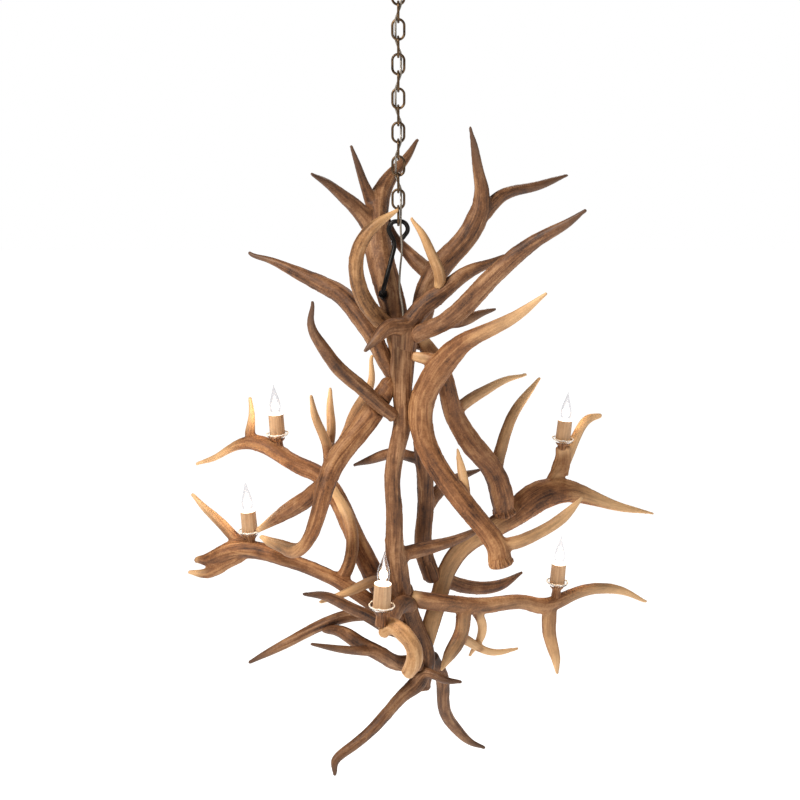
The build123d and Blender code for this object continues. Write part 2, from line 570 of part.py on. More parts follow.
def sleeve(name):
    """The candle: a slightly tapered tube, open at the top."""
    body = Cone(SLEEVE_BOTTOM_RADIUS, SLEEVE_TOP_RADIUS, SLEEVE_HEIGHT)
    body = body - Cylinder(SLEEVE_BORE_RADIUS, SLEEVE_HEIGHT)
    return light_frame(name) * Pos(0, 0, CUP_FLOOR + SLEEVE_HEIGHT / 2) * body


def socket(name):
    body = Cylinder(SOCKET_RADIUS, SOCKET_HEIGHT)
    bore = Pos(0, 0, SOCKET_HEIGHT / 2 - SHELL_LENGTH / 2 - 1)
    body = body - bore * Cylinder(SHELL_RADIUS + THREAD_GAP, SHELL_LENGTH + 2)
    return light_frame(name) * Pos(0, 0, CUP_FLOOR + SOCKET_HEIGHT / 2) * body


def bulb(name):
    """A flame-tip bulb: its screw shell, a neck, the widest third and a drawn-out tip."""
    base = CUP_FLOOR + SOCKET_HEIGHT - SHELL_LENGTH
    with BuildLine() as outline:
        Line((0, 0), (SHELL_RADIUS, 0))
        Line((SHELL_RADIUS, 0), (SHELL_RADIUS, SHELL_LENGTH))
        Spline((SHELL_RADIUS, SHELL_LENGTH + 0.6),
               (0.93 * BULB_RADIUS, SHELL_LENGTH + 0.22 * BULB_HEIGHT),
               (BULB_RADIUS, SHELL_LENGTH + 0.36 * BULB_HEIGHT),
               (0.62 * BULB_RADIUS, SHELL_LENGTH + 0.66 * BULB_HEIGHT),
               (0.2 * BULB_RADIUS, SHELL_LENGTH + 0.88 * BULB_HEIGHT),
               (0.09 * BULB_RADIUS, SHELL_LENGTH + BULB_HEIGHT))
        Line((SHELL_RADIUS, SHELL_LENGTH), (SHELL_RADIUS, SHELL_LENGTH + 0.6))
        Polyline((0.09 * BULB_RADIUS, SHELL_LENGTH + BULB_HEIGHT), (0, SHELL_LENGTH + BULB_HEIGHT),
                 (0, 0))
    solid = revolve(Plane.XZ * make_face(outline.line), Axis.Z)
    return light_frame(name) * Pos(0, 0, base) * solid


# ---------------------------------------------------------------- build and write
def write(name, shape):
    export_step(shape, f"parts/{name}.step")
    print(name, len(shape.solids()), round(shape.volume))


def main():
    write("mounting_bar", mounting_bar())
    write("nipple", nipple())
    write("locknut", locknut())
    write("canopy", canopy())
    write("hanging_loop", neck_and_loop())
    write("collar_nut", collar_nut())
    for number in range(1, LINK_COUNT + 1):
        write(f"chain_link_{number:02d}", chain_link(number))
    cord = supply_cord()
    write("supply_cord", cord)
    rod_path = eye_path()
    write("eye_rod", swept_rod(rod_path, EYE_ROD_RADIUS))
    write("eye_nut", eye_nut())
    cord_hole = Pos(from_eye(CORD_TAIL[-1])) * Pos(0, 0, -CORD_HOLE_DEPTH / 2)
    cord_hole = cord_hole * Cylinder(CORD_RADIUS + HOLE_GAP, CORD_HOLE_DEPTH + 2 * HOLE_GAP)
    for name in ANTLERS:
        if name == "crown_left_antler":
            solid = crown_left_antler()
        else:
            solid = coped_antler(name)
        if name == "front_centre_antler":
            solid = largest(solid - cord_hole)
        write(name, solid)
    for name in LIGHTS:
        write(f"bulb_{name}", bulb(name))
    for name in LIGHTS:
        write(f"cup_{name}", cup(name))
    write("candle_sleeves", Compound([sleeve(name) for name in LIGHTS]))
    write("lamp_sockets", Compound([socket(name) for name in LIGHTS]))


main()
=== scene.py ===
# %% [markdown]
# # An antler chandelier, dressed
#
# The CAD frame gives every piece its place and size. This script keeps that frame and
# builds the looks: grooved antlers with worn pale tips, a bronze chain with its lamp cord,
# and lit flame-tip candles. Lengths are in metres, +Z is up, and the viewer stands at -Y.

# %% Load the frame
import json
import math

import bmesh
import bpy
import numpy as np
from mathutils import Matrix, Vector
from mathutils.bvhtree import BVHTree


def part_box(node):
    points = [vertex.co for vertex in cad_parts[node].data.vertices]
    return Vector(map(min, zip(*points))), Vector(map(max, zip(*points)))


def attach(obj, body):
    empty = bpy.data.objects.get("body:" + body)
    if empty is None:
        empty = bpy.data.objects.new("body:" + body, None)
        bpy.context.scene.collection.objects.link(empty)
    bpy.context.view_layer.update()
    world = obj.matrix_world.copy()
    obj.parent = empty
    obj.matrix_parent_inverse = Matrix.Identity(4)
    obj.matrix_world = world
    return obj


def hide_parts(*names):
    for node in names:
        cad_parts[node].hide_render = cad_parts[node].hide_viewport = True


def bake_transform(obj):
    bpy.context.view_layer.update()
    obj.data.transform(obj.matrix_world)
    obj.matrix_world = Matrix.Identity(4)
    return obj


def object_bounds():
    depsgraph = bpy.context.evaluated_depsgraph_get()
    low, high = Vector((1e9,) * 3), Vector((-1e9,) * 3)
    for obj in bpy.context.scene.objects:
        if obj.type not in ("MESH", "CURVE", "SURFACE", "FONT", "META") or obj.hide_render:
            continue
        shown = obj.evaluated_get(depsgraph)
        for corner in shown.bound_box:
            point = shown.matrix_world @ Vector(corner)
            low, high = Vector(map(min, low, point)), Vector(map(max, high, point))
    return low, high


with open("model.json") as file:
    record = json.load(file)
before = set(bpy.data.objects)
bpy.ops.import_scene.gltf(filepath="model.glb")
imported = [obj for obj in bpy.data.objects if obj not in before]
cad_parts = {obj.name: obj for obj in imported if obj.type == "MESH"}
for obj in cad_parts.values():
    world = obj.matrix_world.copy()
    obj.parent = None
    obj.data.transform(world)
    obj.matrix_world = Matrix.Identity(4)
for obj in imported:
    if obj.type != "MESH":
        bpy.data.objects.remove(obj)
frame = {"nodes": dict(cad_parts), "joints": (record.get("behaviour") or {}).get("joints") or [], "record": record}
nodes = frame["nodes"]
cad_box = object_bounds()
print("CAD box", [[round(x, 3) for x in corner] for corner in cad_box])

# %% [markdown]
# ## The camera
# The picture was taken from a little above, so the camera looks down by twelve degrees.
# A Track To constraint could aim it, but a turn worked out from the line of sight leaves
# nothing live in the file. The target is measured from the top of the eye that the chain
# hooks into, a point that is easy to find both in the picture and in the frame.

# %% The camera
CAMERA_DISTANCE = 3.0
CAMERA_ELEVATION = math.radians(12)
CAMERA_LENS = 54
CAMERA_REACH = 100
EYE_ROD_RADIUS = 0.0055
TARGET_SIDE = 0.004
TARGET_BELOW_EYE = 0.448
eye_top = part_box("eye_rod")[1].z
eye_bar = eye_top - EYE_ROD_RADIUS
scene = bpy.context.scene
target = Vector((TARGET_SIDE, 0, eye_top - TARGET_BELOW_EYE))
line_of_sight = Vector((0, math.cos(CAMERA_ELEVATION), -math.sin(CAMERA_ELEVATION)))
camera = bpy.data.objects.new("camera", bpy.data.cameras.new("camera"))
scene.collection.objects.link(camera)
camera.data.lens = CAMERA_LENS
camera.data.sensor_width = 36
camera.data.clip_end = CAMERA_REACH
camera.location = target - line_of_sight * CAMERA_DISTANCE
camera.rotation_euler = line_of_sight.to_track_quat("-Z", "Y").to_euler()
scene.camera = camera
print("camera at", [round(x, 3) for x in camera.location])

# %% [markdown]
# ## World and lamps
# The studio's backdrop is plain white. A white wall could be modelled, but then it would
# also light the antlers evenly and flatten them. Here the world is white for the camera
# alone and dim for everything else, and three soft lamps model the forms: a key from the
# upper left, a weak fill from the lower right and one from behind.

# %% World
WORLD_LIGHT = 0.13
BACKDROP_WHITE = 1.0
scene.view_settings.view_transform = "Standard"
world = bpy.data.worlds.new("studio")
scene.world = world
world.use_nodes = True
sky = world.node_tree
dim = sky.nodes["Background"]
dim.inputs["Color"].default_value = (1, 1, 1, 1)
dim.inputs["Strength"].default_value = WORLD_LIGHT
backdrop = sky.nodes.new("ShaderNodeBackground")
backdrop.inputs["Color"].default_value = (1, 1, 1, 1)
backdrop.inputs["Strength"].default_value = BACKDROP_WHITE
paths = sky.nodes.new("ShaderNodeLightPath")
choice = sky.nodes.new("ShaderNodeMixShader")
sky.links.new(paths.outputs["Is Camera Ray"], choice.inputs["Fac"])
sky.links.new(dim.outputs["Background"], choice.inputs[1])
sky.links.new(backdrop.outputs["Background"], choice.inputs[2])
sky.links.new(choice.outputs["Shader"], sky.nodes["World Output"].inputs["Surface"])
print("world light", WORLD_LIGHT)

# %% Lamps
LAMPS = {"key": ((-1.9, -1.9, 1.5), 0.9, 150, (1, 0.95, 0.89)),
         "fill": ((2.8, -1.8, -0.6), 1.6, 15, (1, 0.95, 0.9)),
         "rear": ((1.2, 2.2, 1.0), 1.4, 34, (1, 0.95, 0.9))}
LAMPS_AIM_BELOW_EYE = 0.6
lamps_aim = Vector((0, 0, eye_top - LAMPS_AIM_BELOW_EYE))
for name, (place, size, watts, colour) in LAMPS.items():
    data = bpy.data.lights.new(name, "AREA")
    data.size = size
    data.energy = watts
    data.color = colour
    lamp = bpy.data.objects.new(name, data)
    scene.collection.objects.link(lamp)
    lamp.location = place
    lamp.rotation_euler = (lamps_aim - Vector(place)).to_track_quat("-Z", "Y").to_euler()
    lamp.visible_camera = False
print("lamps", ", ".join(LAMPS))

# %% [markdown]
# ## The floor
# The chandelier hangs, so its floor lies far below, and a plane is all that it needs. It
# shines nearly white by itself, because a floor lit by the lamps alone would be greyer
# than the backdrop and would show its edge as a horizon line.

# %% The floor
FLOOR_DROP = 1.2
FLOOR_HALF_SIDE = 30
FLOOR_GLOW = 0.95


def make_object(name, built):
    """A bmesh becomes an object that sits at the origin."""
    mesh = bpy.data.meshes.new(name)
    built.to_mesh(mesh)
    built.free()
    made = bpy.data.objects.new(name, mesh)
    scene.collection.objects.link(made)
    return made


plane = bmesh.new()
bmesh.ops.create_grid(plane, x_segments=1, y_segments=1, size=FLOOR_HALF_SIDE)
bmesh.ops.translate(plane, vec=(0, 0, cad_box[0].z - FLOOR_DROP), verts=plane.verts)
floor = make_object("floor", plane)
floor_material = bpy.data.materials.new("floor")
floor_material.use_nodes = True
floor_shader = floor_material.node_tree.nodes["Principled BSDF"]
floor_shader.inputs["Base Color"].default_value = (0.9, 0.9, 0.9, 1)
floor_shader.inputs["Roughness"].default_value = 1.0
floor_shader.inputs["Emission Color"].default_value = (1, 1, 1, 1)
floor_shader.inputs["Emission Strength"].default_value = FLOOR_GLOW
floor.data.materials.append(floor_material)
print("floor", FLOOR_DROP, "m below the lowest antler")


# %% [markdown]
# ## Shader graphs as formulas
# Node graphs are usually drawn by hand. In a script they read better as formulas, so a
# Wire wraps one output socket, and adding or multiplying wires adds the Math nodes.

# %% The Wire helper
class Wire:
    """One output socket of a shader graph."""

    def __init__(self, tree, socket):
        self.tree = tree
        self.socket = socket

    def node(self, kind, settings, values, output=0):
        """Adds any node; a value may be a number, a colour or another Wire."""
        made = self.tree.nodes.new(kind)
        for key, value in settings.items():
            if key == "stops":
                ramp = made.color_ramp
                while len(ramp.elements) < len(value):
                    ramp.elements.new(0.5)
                for element, (place, colour) in zip(ramp.elements, value):
                    element.position = place
                    element.color = (*colour, 1)
            else:
                setattr(made, key, value)
        for key, value in values.items():
            if isinstance(value, Wire):
                self.tree.links.new(value.socket, made.inputs[key])
            else:
                made.inputs[key].default_value = value
        return Wire(self.tree, made.outputs[output])

    def math(self, operation, first, second):
        return self.node("ShaderNodeMath", {"operation": operation}, {0: first, 1: second})

    def __add__(self, other):
        return self.math("ADD", self, other)

    def __radd__(self, other):
        return self.math("ADD", other, self)

    def __sub__(self, other):
        return self.math("SUBTRACT", self, other)

    def __rsub__(self, other):
        return self.math("SUBTRACT", other, self)

    def __mul__(self, other):
        return self.math("MULTIPLY", self, other)

    def __rmul__(self, other):
        return self.math("MULTIPLY", other, self)

    def clamp(self):
        return self.node("ShaderNodeClamp", {}, {0: self})

    def ramp(self, *stops):
        return self.node("ShaderNodeValToRGB", {"stops": stops}, {0: self})

    def step(self, low, high):
        """0 below low, 1 above high and smooth between."""
        return self.node("ShaderNodeMapRange", {"interpolation_type": "SMOOTHSTEP"},
                         {"Value": self, "From Min": low, "From Max": high})

    def mix(self, other, share):
        """This colour turned into another one by share."""
        return self.node("ShaderNodeMix", {"data_type": "RGBA"},
                         {"Factor": share, 6: self, 7: other}, output=2)

    def noise(self, scale, detail=3.0, roughness=0.5, distortion=0.0):
        """Noise over object coordinates, about 0.5 on average."""
        return self.node("ShaderNodeTexNoise", {},
                         {"Vector": self, "Scale": scale, "Detail": detail,
                          "Roughness": roughness, "Distortion": distortion})


# %% Material helpers
def new_material(name):
    """A material with its Principled node and a wire of object coordinates."""
    material = bpy.data.materials.new(name)
    material.use_nodes = True
    tree = material.node_tree
    coordinates = tree.nodes.new("ShaderNodeTexCoord")
    return material, tree.nodes["Principled BSDF"], Wire(tree, coordinates.outputs["Object"])


def feed(shader, socket, wire):
    wire.tree.links.new(wire.socket, shader.inputs[socket])


def bump(shader, height, strength, distance):
    """A height in wires becomes a normal."""
    feed(shader, "Normal", height.node(
        "ShaderNodeBump", {}, {"Height": height, "Strength": strength, "Distance": distance}))


def attribute(wire, name):
    """A number stored on the mesh."""
    return wire.node("ShaderNodeAttribute", {"attribute_name": name}, {}, output=2)


# %% [markdown]
# ## Antlers: an even skin
# A real antler is one bone with branches that flow into each other, and fine grooves run
# along it. The CAD solids have the right bulk, but their faces are too uneven to carve.
# A voxel remesh gives each antler an even skin. Smooth and Displace modifiers could work
# on that, but the grooves must follow each beam, and arrays of points make that easy.

# %% Mesh arrays
VOXEL = 0.0024


def read_points(mesh):
    points = np.empty(len(mesh.vertices) * 3)
    mesh.vertices.foreach_get("co", points)
    return points.reshape(-1, 3)


def write_points(mesh, points):
    mesh.vertices.foreach_set("co", points.ravel())
    mesh.update()


def read_normals(mesh):
    normals = np.empty(len(mesh.vertices) * 3)
    mesh.vertex_normals.foreach_get("vector", normals)
    return normals.reshape(-1, 3)


def read_edges(mesh):
    edges = np.empty(len(mesh.edges) * 2, dtype=np.int64)
    mesh.edges.foreach_get("vertices", edges)
    return edges.reshape(-1, 2)


def store(mesh, name, values):
    """Keeps a number per vertex for a material to read."""
    made = mesh.attributes.new(name, "FLOAT", "POINT")
    made.data.foreach_set("value", values.astype(np.float32))


def average(values, edges, rounds):
    """Each vertex's value averaged with its neighbours', some rounds over."""
    count = len(values)
    first, second = edges[:, 0], edges[:, 1]
    weight = 1.0 + np.bincount(first, minlength=count) + np.bincount(second, minlength=count)
    flat = values.reshape(count, -1)
    for _ in range(rounds):
        total = flat.copy()
        for column in range(flat.shape[1]):
            total[:, column] += np.bincount(first, flat[second, column], count)
            total[:, column] += np.bincount(second, flat[first, column], count)
        flat = total / weight[:, None]
    return flat.reshape(values.shape)


def rounds_for(reach):
    """How many rounds of averaging spread a value over a distance."""
    return round((reach / VOXEL) ** 2)


# %% An even copy of a CAD antler
WELD_DISTANCE = 1e-5


def even_copy(node, name):
    """A voxel remesh of a CAD node as a new object."""
    whole = bmesh.new()
    whole.from_mesh(nodes[node].data)
    bmesh.ops.remove_doubles(whole, verts=whole.verts, dist=WELD_DISTANCE)
    piece = make_object(name, whole)
    remesh = piece.modifiers.new("even", "REMESH")
    remesh.mode = "VOXEL"
    remesh.voxel_size = VOXEL
    remesh.use_smooth_shade = True
    depsgraph = bpy.context.evaluated_depsgraph_get()
    evened = bpy.data.meshes.new_from_object(piece.evaluated_get(depsgraph))
    piece.modifiers.clear()
    piece.data = evened
    evened.name = name
    return piece


# %% [markdown]
# ## Antlers: soft crotches
# A voxel skin has small steps, and a tine meets its beam in a sharp corner. Smoothing
# takes the steps away but thins the antler, so the lost thickness is put back along the
# normals. Where the surface is hollow, the average of a wide neighbourhood lies outside
# it. Moving out towards that average webs the crotches, as on a grown antler.

# %% Soften and web
SOFTEN_REACH = 0.0045
WEB_REACH = 0.018
WEB_SHARE = 1.5
WEB_DEPTH = 0.012
WEB_BLEND_ROUNDS = 6


def soften(mesh, edges):
    """Smoothed points, as thick as before and webbed, and the smoothed skin's normals."""
    soft_rounds = round(2 * (SOFTEN_REACH / VOXEL) ** 2)
    stepped = read_points(mesh)
    points = average(stepped, edges, soft_rounds)
    write_points(mesh, points)
    normals = read_normals(mesh)
    lost = average(((stepped - points) * normals).sum(axis=1), edges, 3 * soft_rounds)
    points = points + normals * lost[:, None]
    far = average(points, edges, rounds_for(WEB_REACH))
    hollow = np.clip(WEB_SHARE * ((far - points) * normals).sum(axis=1), 0, WEB_DEPTH)
    return points + normals * average(hollow, edges, WEB_BLEND_ROUNDS)[:, None], normals


# %% [markdown]
# ## Antlers: which way the beam runs
# Grooves follow the beam, and a plain noise texture can't know where it goes. The normals
# round a beam point every way but along it, so the direction that they avoid is the
# beam's. Streaks come from walking that way from each vertex and averaging the random
# numbers met. Neighbours on one line share most of what they meet, and neighbours across
# it don't, which is how long grooves differ from speckle.

# %% Beam directions and streaks
NEIGHBOURS = 8


def beam_directions(normals, edges, rounds):
    """The direction that the normals round a vertex avoid most."""
    products = normals[:, :, None] * normals[:, None, :]
    spread = average(products.reshape(len(normals), 9), edges, rounds).reshape(-1, 3, 3)
    _, vectors = np.linalg.eigh(spread)
    return vectors[:, :, 0]


def neighbour_table(count, edges):
    """The neighbours of each vertex, and the vertex itself where it has fewer."""
    table = np.repeat(np.arange(count)[:, None], NEIGHBOURS, axis=1)
    both = np.concatenate([edges, edges[:, ::-1]])
    both = both[np.argsort(both[:, 0], kind="stable")]
    start = np.searchsorted(both[:, 0], np.arange(count))
    place = np.arange(len(both)) - start[both[:, 0]]
    kept = place < NEIGHBOURS
    table[both[kept, 0], place[kept]] = both[kept, 1]
    return table


def streaks(points, directions, table, values, steps):
    """Values averaged along the beam, one voxel a step and some steps each way."""
    total = values.copy()
    for sign in (1.0, -1.0):
        at = np.arange(len(points))
        heading = sign * directions
        spot = points.copy()
        for _ in range(steps):
            spot = spot + VOXEL * heading
            for _ in range(2):
                options = np.concatenate([table[at], at[:, None]], axis=1)
                gaps = ((points[options] - spot[:, None, :]) ** 2).sum(axis=2)
                at = options[np.arange(len(at)), gaps.argmin(axis=1)]
            total += values[at]
            here = directions[at]
            turn = np.sign((here * heading).sum(axis=1))
            heading = here * np.where(turn == 0, 1, turn)[:, None]
            spot = (spot + points[at]) / 2
    total -= total.mean()
    return total / total.std()


# %% [markdown]
# ## Antlers: thick or thin
# Tips are rubbed smooth and pale, and beams stay rough and brown. A mask could be painted
# by hand, but a ray through the antler at each vertex measures how thick it is, which
# tells a tip from a beam on every antler alike.

# %% Thickness
RAY_START = 0.0004
RAY_REACH = 0.12
THIN = 0.012
THICK = 0.044


def thickness(mesh, points, normals):
    """The width of the antler under each vertex, found by a ray through it."""
    faces = [tuple(face.vertices) for face in mesh.polygons]
    tree = BVHTree.FromPolygons([tuple(point) for point in points], faces)
    widths = np.empty(len(points))
    for index, (point, normal) in enumerate(zip(points, normals)):
        hit = tree.ray_cast(Vector(point - normal * RAY_START), Vector(-normal), RAY_REACH)
        widths[index] = hit[3] if hit[0] is not None else RAY_REACH
    return widths


# %% Grow one antler
WIDTH_ROUNDS = 12
GROOVE_DEPTH = 0.00042
FINE_SHARE = 0.35
WIDE_SHARE = 0.75
LUMP_DEPTH = 0.0003
LUMP_REACH = 0.012
PEARL_DEPTH = 0.0005
PEARL_LEVEL = 0.9
PEARL_ROUNDS = 2
BEAM_REACH = 0.075
FINE_STEPS = 12
WIDE_STEPS = 22
WIDE_ROUNDS = 5


def grow_antler(node, seed):
    """The dressed copy of one antler, with what its material needs stored on it."""
    piece = even_copy(node, f"{node}_piece")
    mesh = piece.data
    edges = read_edges(mesh)
    points, normals = soften(mesh, edges)
    widths = average(thickness(mesh, points, normals), edges, WIDTH_ROUNDS)
    directions = beam_directions(normals, edges, round(BEAM_REACH / VOXEL))
    table = neighbour_table(len(points), edges)
    dice = np.random.default_rng(seed)
    fine = streaks(points, directions, table, dice.normal(size=len(points)), FINE_STEPS)
    wide_seed = average(dice.normal(size=len(points)), edges, WIDE_ROUNDS)
    wide = streaks(points, directions, table, wide_seed, WIDE_STEPS)
    lumps = average(dice.normal(size=len(points)), edges, rounds_for(LUMP_REACH))
    lumps = (lumps - lumps.mean()) / lumps.std()
    pearls = average(dice.normal(size=len(points)), edges, PEARL_ROUNDS)
    pearls = pearls / pearls.std()
    rough = np.clip((widths - THIN) / (THICK - THIN), 0, 1)
    height = GROOVE_DEPTH * (FINE_SHARE * fine + WIDE_SHARE * wide)
    height += LUMP_DEPTH * lumps
    height += PEARL_DEPTH * np.clip(pearls - PEARL_LEVEL, 0, 2)
    write_points(mesh, points + normals * (height * rough)[:, None])
    store(mesh, "groove", np.clip(0.5 + 0.13 * fine + 0.12 * wide, 0, 1))
    store(mesh, "rough", rough)
    store(mesh, "lump", np.clip(0.5 + 0.2 * lumps, 0, 1))
    mesh.shade_smooth()
    return piece


# %% [markdown]
# ## Antlers: colour
# Antler is brown where sap and bark stained it and pale where it was rubbed, with dark
# lines in its grooves. One colour ramp over a sum of masks gives all of that: the stored
# grooves, soft mottling, patches and fine specks. The thin tips then turn to a tip colour.
# The hook at the front is paler than the arm that it grows from, so its material also
# turns pale towards the viewer.

# %% The antler material
HOOK_STARTS = 0.30
HOOK_FULL = 0.37
HOOK_RAMP = ((0.20, (0.16, 0.065, 0.022)), (0.50, (0.52, 0.27, 0.11)), (0.80, (0.74, 0.47, 0.25)))


def antler_material(name, dark, mid, light, tip, tip_reach, pale_front=False):
    """Stained grooves on a beam and worn tips; tip_reach is how far the tips run back."""
    material, shader, place = new_material(name)
    groove = attribute(place, "groove")
    rough = attribute(place, "rough")
    lump = attribute(place, "lump")
    mottle = place.noise(6.0, 3.0, 0.55, 0.5)
    patch = place.noise(22.0, 4.0, 0.6, 0.3)
    speck = place.noise(220.0, 3.0, 0.6)
    grain = place.noise(900.0, 2.0, 0.5)
    tone = 0.56 * groove + 0.58 * mottle + 0.32 * patch + 0.26 * speck + 0.10 * lump - 0.44
    body = tone.ramp((0.20, dark), (0.47, mid), (0.80, light))
    tip_share = (1.0 - rough.step(0.02, tip_reach)) * (0.35 + 0.5 * groove + 0.5 * patch)
    colour = body.mix((*tip, 1), tip_share.clamp())
    if pale_front:
        depth = place.node("ShaderNodeSeparateXYZ", {}, {0: place}, output=1)
        colour = colour.mix(tone.ramp(*HOOK_RAMP), (0.0 - depth).step(HOOK_STARTS, HOOK_FULL))
    feed(shader, "Base Color", colour)
    feed(shader, "Roughness", (0.44 + 0.12 * rough + 0.16 * speck).clamp())
    shader.inputs["Specular IOR Level"].default_value = 0.42
    ridges = (0.25 + rough).clamp() * groove
    bump(shader, 1.3 * ridges + 0.3 * speck + 0.15 * grain, 0.5, 0.0008)
    return material


# %% Four kinds of antler
BROWN = {"dark": (0.034, 0.012, 0.005), "mid": (0.190, 0.080, 0.030), "light": (0.46, 0.250, 0.120)}
TAN = {"dark": (0.044, 0.014, 0.004), "mid": (0.235, 0.093, 0.031), "light": (0.52, 0.270, 0.115)}
PALE = {"dark": (0.10, 0.042, 0.014), "mid": (0.36, 0.175, 0.066), "light": (0.66, 0.40, 0.20)}
brown_look = antler_material("antler_brown", **BROWN, tip=(0.115, 0.056, 0.029), tip_reach=0.5)
tan_look = antler_material("antler_tan", **TAN, tip=(0.76, 0.470, 0.230), tip_reach=0.80)
pale_look = antler_material("antler_pale", **PALE, tip=(0.62, 0.36, 0.16), tip_reach=0.7)
hook_look = antler_material("antler_hook", **BROWN, tip=(0.30, 0.150, 0.060), tip_reach=0.3,
                            pale_front=True)
TAN_ANTLERS = {"left_front_antler", "left_lower_arm", "left_upper_arm", "right_front_antler",
               "right_lower_arm", "right_rear_antler", "right_upper_arm"}
PALE_ANTLERS = {"curled_front_tine", "eye_tine"}


def antler_look(node):
    if node == "front_arm":
        return hook_look
    if node in PALE_ANTLERS:
        return pale_look
    return tan_look if node in TAN_ANTLERS else brown_look


print("tan antlers", len(TAN_ANTLERS), "and pale ones", len(PALE_ANTLERS))


# %% All antlers
def finish_piece(piece, body, node, material):
    """Hangs a piece on its body, in place of a CAD node."""
    piece.data.materials.append(material)
    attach(piece, body)
    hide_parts(node)


antler_nodes = [row["node"] for row in frame["record"]["subparts"]
                if row["material_slot"] == "antler"]
for seed, node in enumerate(antler_nodes, start=1):
    piece = grow_antler(node, seed)
    finish_piece(piece, "chandelier", node, antler_look(node))
    print(node, len(piece.data.polygons), "faces")


# %% [markdown]
# ## Metal
# The chain, loop and canopy are aged bronze, dark in the hollows and brown where hands
# rubbed them. The strap behind the canopy is zinc plated, and the eye is black steel.
# Their CAD shapes are right as they are, so they stay in view and only get a material.

# %% Metal materials
def metal_material(name, dark, light, roughness):
    material, shader, place = new_material(name)
    wear = place.noise(60.0, 4.0, 0.6)
    fine = place.noise(700.0, 2.0, 0.5)
    feed(shader, "Base Color", wear.ramp((0.35, dark), (0.7, light)))
    feed(shader, "Roughness", (roughness + 0.25 * wear).clamp())
    shader.inputs["Metallic"].default_value = 0.85
    bump(shader, fine, 0.2, 0.0003)
    return material


bronze = metal_material("bronze", (0.045, 0.028, 0.016), (0.20, 0.12, 0.06), 0.28)
black_steel = metal_material("black_steel", (0.010, 0.009, 0.009), (0.03, 0.028, 0.026), 0.35)
zinc = metal_material("zinc", (0.42, 0.42, 0.43), (0.62, 0.62, 0.64), 0.2)

# %% Dress the metal nodes
chain_links = sorted(name for name in nodes if name.startswith("chain_link_"))
METALS = {bronze: [*chain_links, "canopy", "collar_nut", "hanging_loop"],
          zinc: ["mounting_bar", "locknut", "nipple"],
          black_steel: ["eye_rod", "eye_nut"]}
for metal, dressed in METALS.items():
    for node in dressed:
        nodes[node].data.materials.clear()
        nodes[node].data.materials.append(metal)
    print(metal.name, len(dressed), "nodes")


# %% [markdown]
# ## Turned forms
# Cups, sleeves, bulbs and burrs are all turned on an axis. The Screw modifier could spin
# them, but the spin operator keeps the work in one bmesh. A shape function then moves each
# point by its place round the axis, which is how scallops, streaks and threads come in.

# %% The lathe
def lathe(name, profile, sides, place, shape=None, closed=False):
    """A profile of (radius, height) spun round z, then moved by the matrix place."""
    turned = bmesh.new()
    outline = [turned.verts.new((radius, 0, height)) for radius, height in profile]
    following = outline[1:] + outline[:1] if closed else outline[1:]
    edges = [turned.edges.new(pair) for pair in zip(outline, following)]
    bmesh.ops.spin(turned, geom=outline + edges, cent=(0, 0, 0), axis=(0, 0, 1),
                   angle=2 * math.pi, steps=sides, use_merge=True)
    if not closed:
        rims = [edge for edge in turned.edges if edge.is_boundary]
        bmesh.ops.holes_fill(turned, edges=rims, sides=0)
    if shape:
        for point in turned.verts:
            turn = math.atan2(point.co.y, point.co.x)
            radius, height = shape(math.hypot(point.co.x, point.co.y), point.co.z, turn)
            point.co = (radius * math.cos(turn), radius * math.sin(turn), height)
    bmesh.ops.recalc_face_normals(turned, faces=turned.faces)
    bmesh.ops.transform(turned, matrix=place, verts=turned.verts)
    piece = make_object(name, turned)
    piece.data.shade_smooth()
    return piece


def smooth_profile(points, steps):
    """A profile carried through its points by a Catmull-Rom curve."""
    ends = [points[0], *points, points[-1]]
    made = []
    for a, b, c, d in zip(ends, ends[1:], ends[2:], ends[3:]):
        for k in range(steps):
            t = k / steps
            made.append(tuple(0.5 * (2 * q + (r - p) * t + (2 * p - 5 * q + 4 * r - s) * t * t
                                     + (3 * q - p - 3 * r + s) * t ** 3)
                              for p, q, r, s in zip(a, b, c, d)))
    made.append(points[-1])
    return made


# %% Waves and streaks round an axis
STREAK_CLIMB = 40


def waves(dice, counts, climbs):
    """A sum of waves round the axis; each may also climb along it."""
    table = [(count, climb, dice.uniform(0, 2 * math.pi)) for count, climb in zip(counts, climbs)]

    def at(turn, height):
        return sum(math.sin(count * turn + climb * height + phase)
                   for count, climb, phase in table) / len(table)
    return at


def streaks_round(place, dice, counts):
    """Streak strength at a point, by its angle round the axis of the matrix place."""
    back_again = place.inverted()
    wave = waves(dice, counts, [STREAK_CLIMB * (k % 3 - 1) for k in range(len(counts))])

    def at(point):
        own = back_again @ point
        return 0.5 + 0.5 * wave(math.atan2(own.y, own.x), own.z)
    return at


def mark(piece, groove, rough=0.85, lump=0.5):
    """Stores what the antler and candle materials look for."""
    values = np.array([groove(vertex.co) for vertex in piece.data.vertices])
    store(piece.data, "groove", np.clip(values, 0, 1))
    store(piece.data, "rough", np.full(len(values), rough))
    store(piece.data, "lump", np.full(len(values), lump))


# %% [markdown]
# ## Where the candles stand
# Five candle arms carry a bulb each, and every bulb turns on its own axis in the frame.
# Each cup's place could be measured again, but that axis already gives it. Heights below
# count from the axis's point, which lies at the top of the antler stub.

# %% The lights
LIGHTS = ("front", "lower_left", "upper_left", "lower_right", "upper_right")
turns = {joint["name"]: joint for joint in frame["joints"]}


def light_place(light):
    joint = turns[f"bulb_{light}_turn"]
    turn = Vector(joint["axis"]).to_track_quat("Z", "Y").to_matrix().to_4x4()
    return Matrix.Translation(joint["pos_m"]) @ turn


for light in LIGHTS:
    print(light, "light at", [round(x, 3) for x in light_place(light).translation])


